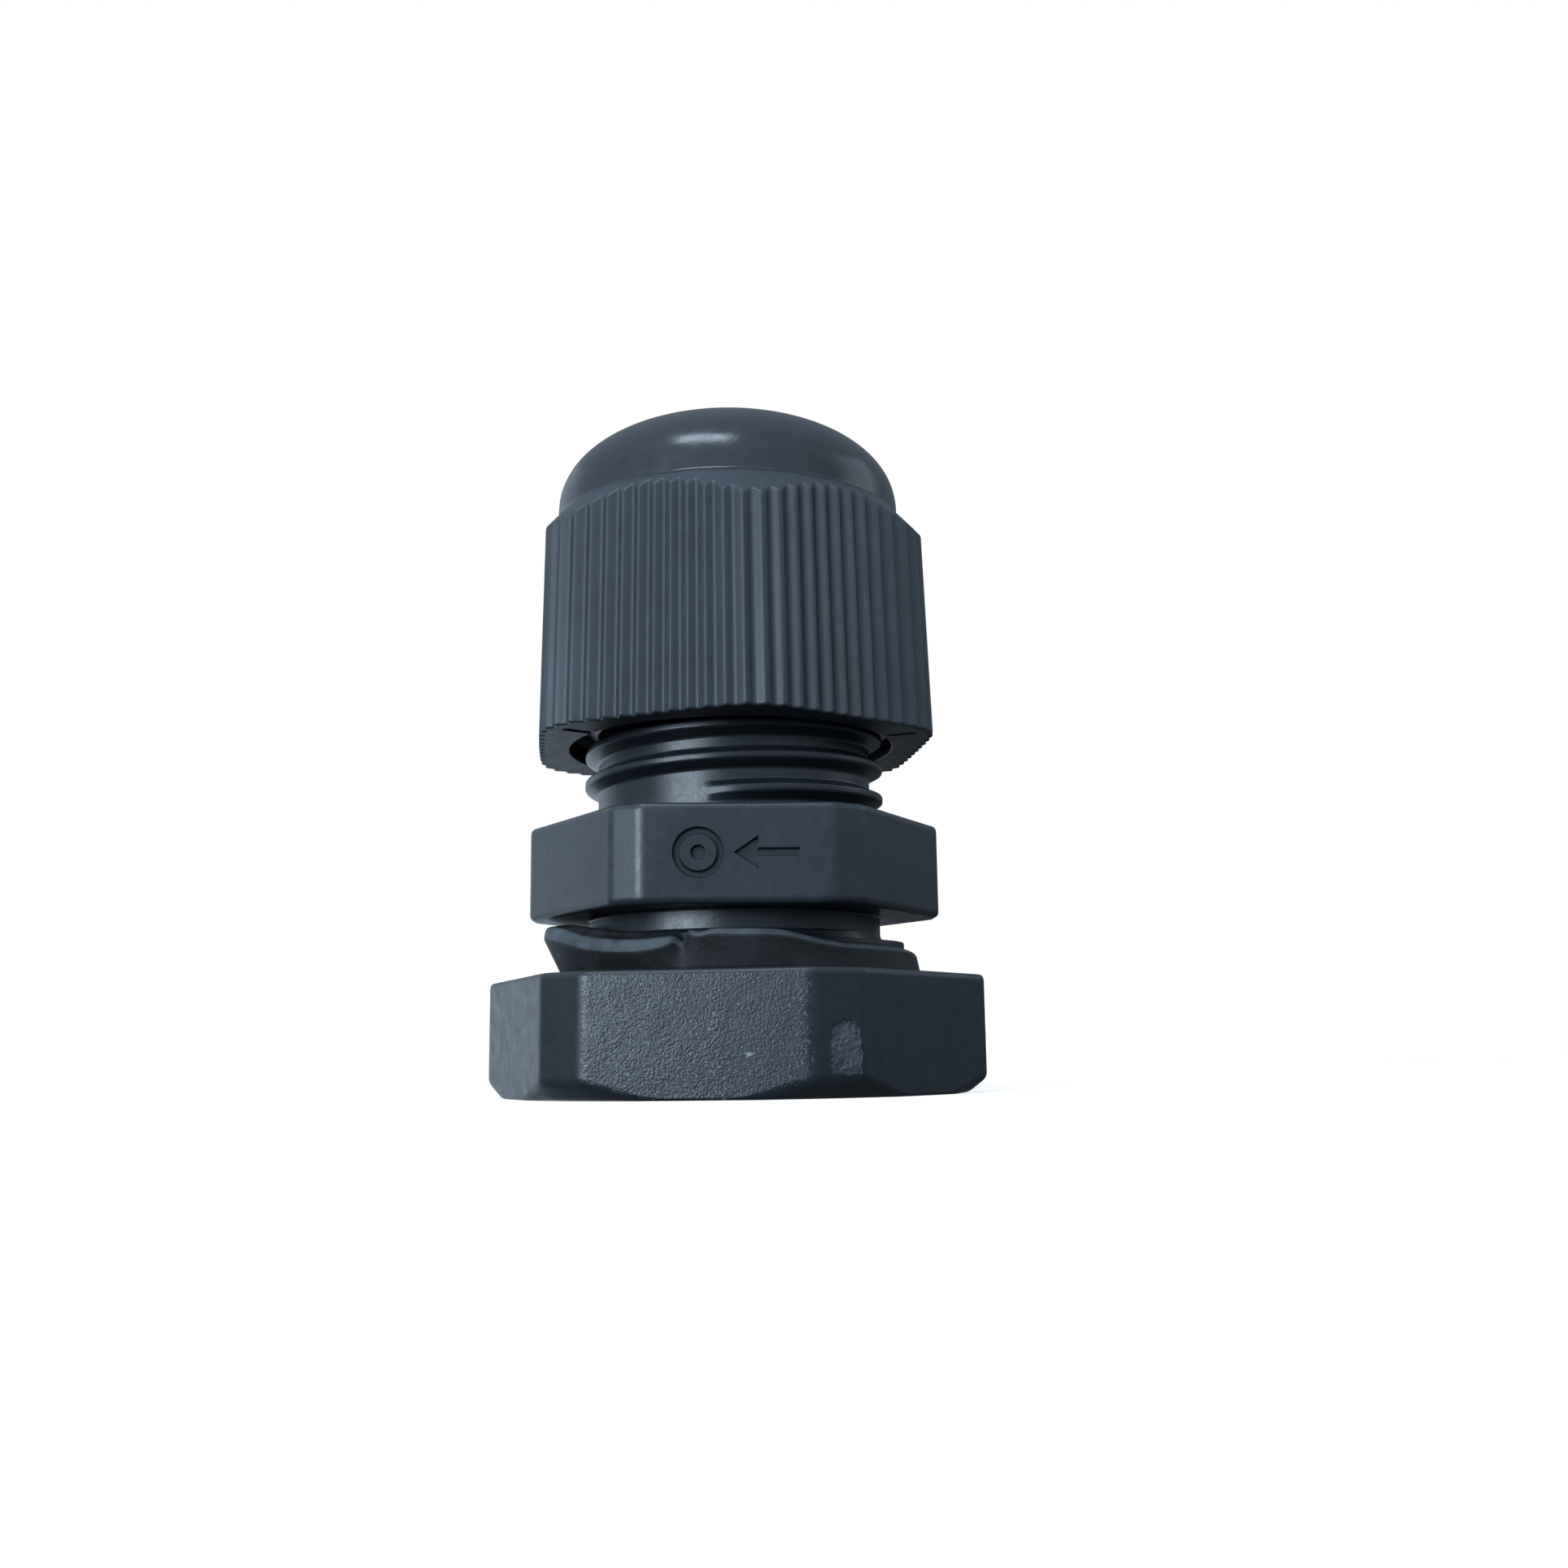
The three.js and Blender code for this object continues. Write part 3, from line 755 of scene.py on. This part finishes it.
def sealing_washer():
    """A soft ring that has ridden up the thread on the left, where its rim is turned up."""
    azimuth = np.arange(480) * 0.75
    rim_height = wave(azimuth, WASHER_RIM)
    rim = wave(azimuth, WASHER_REACH)
    lip = wave(azimuth, WASHER_LIP)
    foot = wave(azimuth, WASHER_FOOT)
    lifted = wave(azimuth, WASHER_LIFT)
    waist = foot + (rim - foot) * 0.6
    waist_height = WASHER_BOTTOM + (rim_height - lip - WASHER_BOTTOM) * 0.6
    corners = [
        (8.1, WASHER_BOTTOM),
        (foot, WASHER_BOTTOM, 0.2, 2),
        (waist, waist_height, 0.4, 2),
        (rim, rim_height - lip, 0.15, 2),
        (rim - 0.12, rim_height, 0.25, 2),
        (rim - 0.6, rim_height + 0.06, 0.3, 2),
        (WASHER_BORE + 0.25, 7.1 + 1.0 * lifted, 0.25, 2),
        (WASHER_BORE, 6.8 + 0.7 * lifted, 0.2, 2),
        (8.0, 6.2, 0.3, 2),
        (8.1, WASHER_BOTTOM),
    ]
    shell = Shell()
    shell.band(azimuth, *profile(corners, len(azimuth)))
    piece = shell.build("washer_ring")
    smooth(piece)
    paint(piece, [WASHER_RUBBER, WASHER_HIGHLIGHT_EDGE], on_washer_highlight_edge)
    return piece


def on_washer_highlight_edge(centres, normals):
    """The top outer edge of the washer's rim, painted much lighter: a painted highlight where the rim
    catches the light.
    """
    azimuth = np.degrees(np.arctan2(centres[:, 0], -centres[:, 1])) % 360
    reach = np.hypot(centres[:, 0], centres[:, 1])
    high, wide, lip = (wave(azimuth, knots) for knots in (WASHER_RIM, WASHER_REACH, WASHER_LIP))
    return (centres[:, 2] > high - lip) & (reach > wide - 0.35)


# ---------- seal insert and fingers ----------
SEAL = {
    "bottom": 18.6,
    "top": 30.75,
    "bore": 3.9,
    "bevel": 4.35,  # radius of the bevels at the bore's ends
    "bevel_ends": (19.05, 30.3),
    "foot": (5.5, 20.6),  # radius of its wide foot, and where the taper starts
    "top_radius": 4.66,
}


def seal_insert():
    azimuth = np.arange(96) * 3.75
    bottom, top, bore, bevel = (SEAL[key] for key in ("bottom", "top", "bore", "bevel"))
    corners = [
        (bevel, bottom),
        (SEAL["foot"][0], bottom, 0.15),
        (*SEAL["foot"], 0.3),
        (SEAL["top_radius"], top, 0.15),
        (bevel, top, 0.1),
        (bore, SEAL["bevel_ends"][1], 0.15),
        (bore, SEAL["bevel_ends"][0], 0.15),
        (bevel, bottom),
    ]
    piece = ring_shell("seal_rubber_insert", azimuth, corners)
    smooth(piece)
    paint(piece, [SEAL_RUBBER])
    return piece


FINGER = {
    "inner": 5.9,
    "slot": 1.0,  # width of the gap to the next finger
    "tip": 27.0,  # above this height it gets thinner
    "outside": [  # (height, outer radius)
        (19.6, 6.62), (20.0, 6.62), (21.5, 6.66), (23.5, 6.68), (25.5, 6.68), (26.5, 6.64),
        (26.85, 6.56), (27.2, 6.42), (27.36, 6.3),
    ],
}


def finger(number):
    """One clamping finger: a curved, drafted slab that grows from the body's crown."""
    middle = 36 * (number - 0.5)
    inner, slot, tip = FINGER["inner"], FINGER["slot"], FINGER["tip"]
    bm = bmesh.new()
    rings = []
    for z, outer in FINGER["outside"]:
        shrink = 0.0 if z < tip else (z - tip) * 0.35
        ring = []
        for radius, side, in_out in ((inner + shrink, -1, 0), (outer - shrink, 1, 1)):
            half = 18 - math.degrees(math.asin((slot / 2 + shrink) / radius))
            for t in np.linspace(-1, 1, 9):
                edge = max(abs(t) - 0.9, 0) * 0.6
                r = radius + (edge if in_out == 0 else -edge)
                angle = math.radians(middle + side * t * half)
                ring.append(bm.verts.new((r * math.sin(angle) * MM, -r * math.cos(angle) * MM, z * MM)))
        rings.append(ring)
    for low, high in zip(rings, rings[1:]):
        for j in range(len(low)):
            k = (j + 1) % len(low)
            bm.faces.new((low[j], low[k], high[k], high[j]))
    bm.faces.new(rings[0][::-1])
    bm.faces.new(rings[-1])
    bmesh.ops.recalc_face_normals(bm, faces=bm.faces)
    mesh = bpy.data.meshes.new(f"clamp_finger_{number}")
    bm.to_mesh(mesh)
    bm.free()
    piece = bpy.data.objects.new(f"clamp_finger_{number}", mesh)
    bpy.context.scene.collection.objects.link(piece)
    smooth(piece)
    paint(piece, [BODY_NYLON])
    return piece


# ---------- dome nut ----------
def rib_outline(azimuth):
    """The skirt's radius at its bottom: flats, turned corners and V-shaped ribs."""
    turn = azimuth - DOME_NUT["corner_azimuth"]
    from_flat = (turn % 60) - 30
    flat = DOME_NUT["across_flats"] / np.cos(np.radians(from_flat))
    corner = DOME_NUT["corner_radius"]
    blend = DOME_NUT["corner_softness"]
    edge = corner - np.sqrt(((corner - flat) / 2) ** 2 + blend**2) - (corner - flat) / 2 + blend / 2
    phase = (turn * DOME_NUT["ribs"] / 360) % 1
    from_tip = np.sqrt((phase - 0.5) ** 2 + 0.07**2) - 0.07
    fall = from_tip / 0.36
    fall = (fall + 1 - np.sqrt((fall - 1) ** 2 + 0.02)) / 2
    return edge - DOME_NUT["rib_depth"] * np.clip(fall, 0, None)


def slot_cutter(azimuth, bottom):
    """A narrow slot across the nut's underside, from its bore out to a corner."""
    near, far, half = DOME_NUT["entry"] - 0.3, 9.65, 0.26
    outline = [(-half, near), (half, near), (half, far - 0.15), (0, far), (-half, far - 0.15)]
    turned = Matrix.Rotation(math.radians(azimuth + 180), 4, "Z")
    return prism("slot", [(outline, 0.45, -0.03)], Matrix.Translation((0, 0, bottom * MM)) @ turned)


def dome_nut():
    ratio = 5
    azimuth = DOME_NUT["corner_azimuth"] + np.arange(1440) * 0.25
    few = azimuth[::ratio]
    bottom, entry, mouth = DOME_NUT["bottom"], DOME_NUT["entry"], DOME_NUT["mouth"]
    skirt = rib_outline(azimuth)
    draft, slope = DOME_NUT["draft"], DOME_NUT["shoulder_slope"]
    dome_radius, dome_foot = DOME_NUT["shoulder"]
    # the skirt's line and the shoulder's line cross at this height
    crossing = (dome_radius + slope * dome_foot - skirt * (1 - draft * bottom)) / (slope + skirt * draft)
    crossing_radius = skirt * (1 + draft * (crossing - bottom))
    entry_edge, shoulder_edge, dome_edge = entry + 0.35, (8.78, 28.3), (8.75, 28.3333)
    shell = Shell()
    shell.fan(azimuth, (entry_edge, bottom), (entry + 0.12, bottom), ratio, fine_first=False)
    ribs = [
        (entry_edge, bottom),
        (skirt, bottom, 0.14),
        (crossing_radius, crossing, 0.12),
        shoulder_edge,
    ]
    radius, height = profile(ribs, len(azimuth), 4, 0.04)
    shell.band(azimuth, radius, height)
    shell.fan(azimuth, shoulder_edge, dome_edge, ratio)
    exponent, rise, centre = DOME_NUT["dome_exponent"], DOME_NUT["dome_rise"], DOME_NUT["dome_centre"]
    rim_angle = math.acos((DOME_NUT["lip"] / dome_radius) ** (exponent / 2))
    dome = []
    for share in np.linspace(0, 1, 30)[1:]:
        at = dome_radius * math.cos(rim_angle * share) ** (2 / exponent)
        dome.append((at, centre + rise * (1 - (at / dome_radius) ** exponent) ** (1 / exponent)))
    rim = dome[-1][1]
    mouth_radius = NECK_THREAD["crest"] + 0.35
    top = [
        dome_edge,
        (dome_radius, dome_foot, 0.1),
        (dome_radius, centre),
        *dome[:-1],
        (DOME_NUT["lip"] - 0.06, rim, 0.05),
        (mouth, rim - 0.3, 0.15),
        (mouth, DOME_NUT["clamp_top"][1], 0.1),
        (*DOME_NUT["clamp_top"], 0.1),
        (DOME_NUT["sleeve"], DOME_NUT["clamp_bottom"], 0.2),
        (DOME_NUT["sleeve"], DOME_NUT["thread_top"], 0.1),
        (mouth_radius, DOME_NUT["thread_top"] - 0.1),
    ]
    shell.band(few, *profile(top, len(few)))
    thread_ends = bottom + DOME_NUT["entry_depth"], DOME_NUT["thread_top"] - 0.1
    inside_thread(shell, few, NECK_THREAD, *thread_ends, DOME_NUT["play"], (mouth_radius,) * 2)
    opening = [
        (mouth_radius, thread_ends[0]),
        (entry, thread_ends[0] - 0.2, 0.05),
        (entry, bottom, 0.08),
        (entry + 0.12, bottom),
    ]
    shell.band(few, *profile(opening, len(few)))
    left = Matrix.Rotation(math.radians(DOME_NUT["lean_left"]), 4, "Y")
    back = Matrix.Rotation(math.radians(DOME_NUT["lean_back"]), 4, "X")
    pivot = Matrix.Translation((0, 0, bottom * MM))
    shift = Matrix.Translation((DOME_NUT["aside"] * MM, 0, -DOME_NUT["sink"] * MM))
    piece = shell.build("dome_nut_moulding")
    for side in (-60, 60):
        carve(piece, slot_cutter(DOME_NUT["corner_azimuth"] + side, bottom))
    piece.data.transform(shift @ pivot @ back @ left @ pivot.inverted())
    smooth(piece)
    paint(piece, [DOME_SATIN, DOME_GLOSS], lambda centres, normals: centres[:, 2] > dome_foot - 0.1)
    return piece


# ---------- the pieces on their bodies ----------
for made, body, slot in (
    (gland_body(), "gland_body", "body_nylon"),
    (sealing_washer(), "sealing_washer", "washer_rubber"),
    (lock_nut(), "lock_nut", "lock_nut_nylon"),
    (seal_insert(), "seal_insert", "seal_rubber"),
    (dome_nut(), "dome_nut", "dome_nylon"),
):
    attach(made, body)
    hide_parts(body)

for number in range(1, 11):
    made = finger(number)
    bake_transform(made)
    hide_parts(f"finger_{number}")


# ---------- floor, light and camera ----------
def floor():
    mesh = bpy.data.meshes.new("floor")
    reach, cells = 0.25, 8
    line = np.linspace(-reach, reach, cells + 1)
    points = [(x, y, 0.0) for y in line for x in line]
    row = cells + 1
    faces = [
        (j * row + i, j * row + i + 1, (j + 1) * row + i + 1, (j + 1) * row + i)
        for j in range(cells)
        for i in range(cells)
    ]
    mesh.from_pydata(points, [], faces)
    piece = bpy.data.objects.new("floor", mesh)
    bpy.context.scene.collection.objects.link(piece)
    look = Look("floor_paper")
    tint = look.mix(look.noise(40.0, 2), (0.4, 0.38, 0.36), (0.42, 0.4, 0.38))
    look.link(tint, look.shader.inputs["Base Color"])
    look.shader.inputs["Roughness"].default_value = 0.9
    look.shader.inputs["Emission Color"].default_value = (1, 1, 1, 1)
    look.shader.inputs["Emission Strength"].default_value = 0.75
    mesh.materials.append(look.material)
    piece.visible_diffuse = False
    piece.visible_glossy = False


COOL = (0.69, 0.84, 1.0)  # the tint of all the light on the gland
SKY = (0.2, 1.18)  # the sky's brightness at the back, and at its brightest azimuth
SKY_AZIMUTH = -15
TABLE = (0.1, 1.1)  # the table's brightness all round, and at its brightest azimuth
TABLE_AZIMUTH = -150
TABLE_SPREAD = (0.78, 0.92)  # cosines of the angles from that azimuth between which it fades
HORIZON = (-0.02, 0.26)  # rises between which the table fades into the sky


def softbox(name, azimuth, elevation, distance, width, height, power):
    """A rectangular lamp that looks at the middle of the gland. Sizes in mm, power in watts."""
    lamp = bpy.data.lights.new(name, "AREA")
    lamp.shape = "RECTANGLE"
    lamp.size, lamp.size_y = width * MM, height * MM
    lamp.energy = power
    lamp.color = COOL
    a, e = math.radians(azimuth), math.radians(elevation)
    away = Vector((math.sin(a) * math.cos(e), -math.cos(a) * math.cos(e), math.sin(e)))
    holder = bpy.data.objects.new(name, lamp)
    holder.location = Vector((0, 0, 16 * MM)) + away * distance * MM
    holder.rotation_mode = "QUATERNION"
    holder.rotation_quaternion = (-away).to_track_quat("-Z", "Y")
    holder.visible_camera = False
    bpy.context.scene.collection.objects.link(holder)


def backdrop():
    """White where the camera sees it. The gland is lit by a cool sky and, from below, by a table."""
    world = bpy.data.worlds.new("studio")
    world.use_nodes = True
    tree = world.node_tree
    tree.nodes.clear()
    direction = tree.nodes.new("ShaderNodeTexCoord").outputs["Generated"]

    def climb(value, low, high, start, end):
        node = tree.nodes.new("ShaderNodeMapRange")
        for socket, number in zip(("From Min", "From Max", "To Min", "To Max"), (low, high, start, end)):
            node.inputs[socket].default_value = number
        tree.links.new(value, node.inputs["Value"])
        return node.outputs["Result"]

    def towards(azimuth):
        """From -1 on the far side to 1 towards this azimuth."""
        node = tree.nodes.new("ShaderNodeVectorMath")
        node.operation = "DOT_PRODUCT"
        tree.links.new(direction, node.inputs[0])
        a = math.radians(azimuth)
        node.inputs[1].default_value = (math.sin(a), -math.cos(a), 0)
        return node.outputs["Value"]

    split = tree.nodes.new("ShaderNodeSeparateXYZ")
    tree.links.new(direction, split.inputs[0])
    blend = tree.nodes.new("ShaderNodeMix")
    tree.links.new(climb(split.outputs["Z"], *HORIZON, 0, 1), blend.inputs[0])
    tree.links.new(climb(towards(TABLE_AZIMUTH), *TABLE_SPREAD, *TABLE), blend.inputs[2])
    tree.links.new(climb(towards(SKY_AZIMUTH), -1, 1, *SKY), blend.inputs[3])
    lit = tree.nodes.new("ShaderNodeBackground")
    lit.inputs["Color"].default_value = (*COOL, 1)
    tree.links.new(blend.outputs[0], lit.inputs["Strength"])
    seen = tree.nodes.new("ShaderNodeBackground")
    seen.inputs["Color"].default_value = (1, 1, 1, 1)
    choice = tree.nodes.new("ShaderNodeMixShader")
    tree.links.new(tree.nodes.new("ShaderNodeLightPath").outputs["Is Camera Ray"], choice.inputs[0])
    tree.links.new(lit.outputs[0], choice.inputs[1])
    tree.links.new(seen.outputs[0], choice.inputs[2])
    output = tree.nodes.new("ShaderNodeOutputWorld")
    tree.links.new(choice.outputs[0], output.inputs["Surface"])
    bpy.context.scene.world = world


CAMERA = {
    "place": (-1.275, -79.588, 1.634),
    "turn": (2.702, 9.654, -0.7735),  # degrees of yaw to the right, pitch upwards, and roll
    "lens": 37.233,
    "sensor": 36.0,
}


def camera():
    yaw, pitch, roll = (math.radians(v) for v in CAMERA["turn"])
    ahead = math.cos(pitch)
    forward = Vector((math.sin(yaw) * ahead, math.cos(yaw) * ahead, math.sin(pitch)))
    level = Vector((math.cos(yaw), -math.sin(yaw), 0))
    upright = level.cross(forward)
    right = math.cos(roll) * level + math.sin(roll) * upright
    up = math.cos(roll) * upright - math.sin(roll) * level
    lens = bpy.data.cameras.new("camera")
    lens.lens, lens.sensor_width = CAMERA["lens"], CAMERA["sensor"]
    lens.clip_start, lens.clip_end = 0.005, 20.0
    holder = bpy.data.objects.new("camera", lens)
    turn = Matrix((right, up, -forward)).transposed().to_4x4()
    holder.matrix_world = Matrix.Translation(Vector(CAMERA["place"]) * MM) @ turn
    bpy.context.scene.collection.objects.link(holder)
    bpy.context.scene.camera = holder


floor()
softbox("key", -40, 4, 260, 150, 75, 0.48)
softbox("overhead", -22, 56, 260, 120, 60, 0.26)
softbox("left_back", -140, 15, 300, 200, 200, 0.045)
softbox("right", 100, 25, 300, 160, 160, 0.07)
backdrop()
camera()
bpy.context.scene.view_settings.view_transform = "Standard"
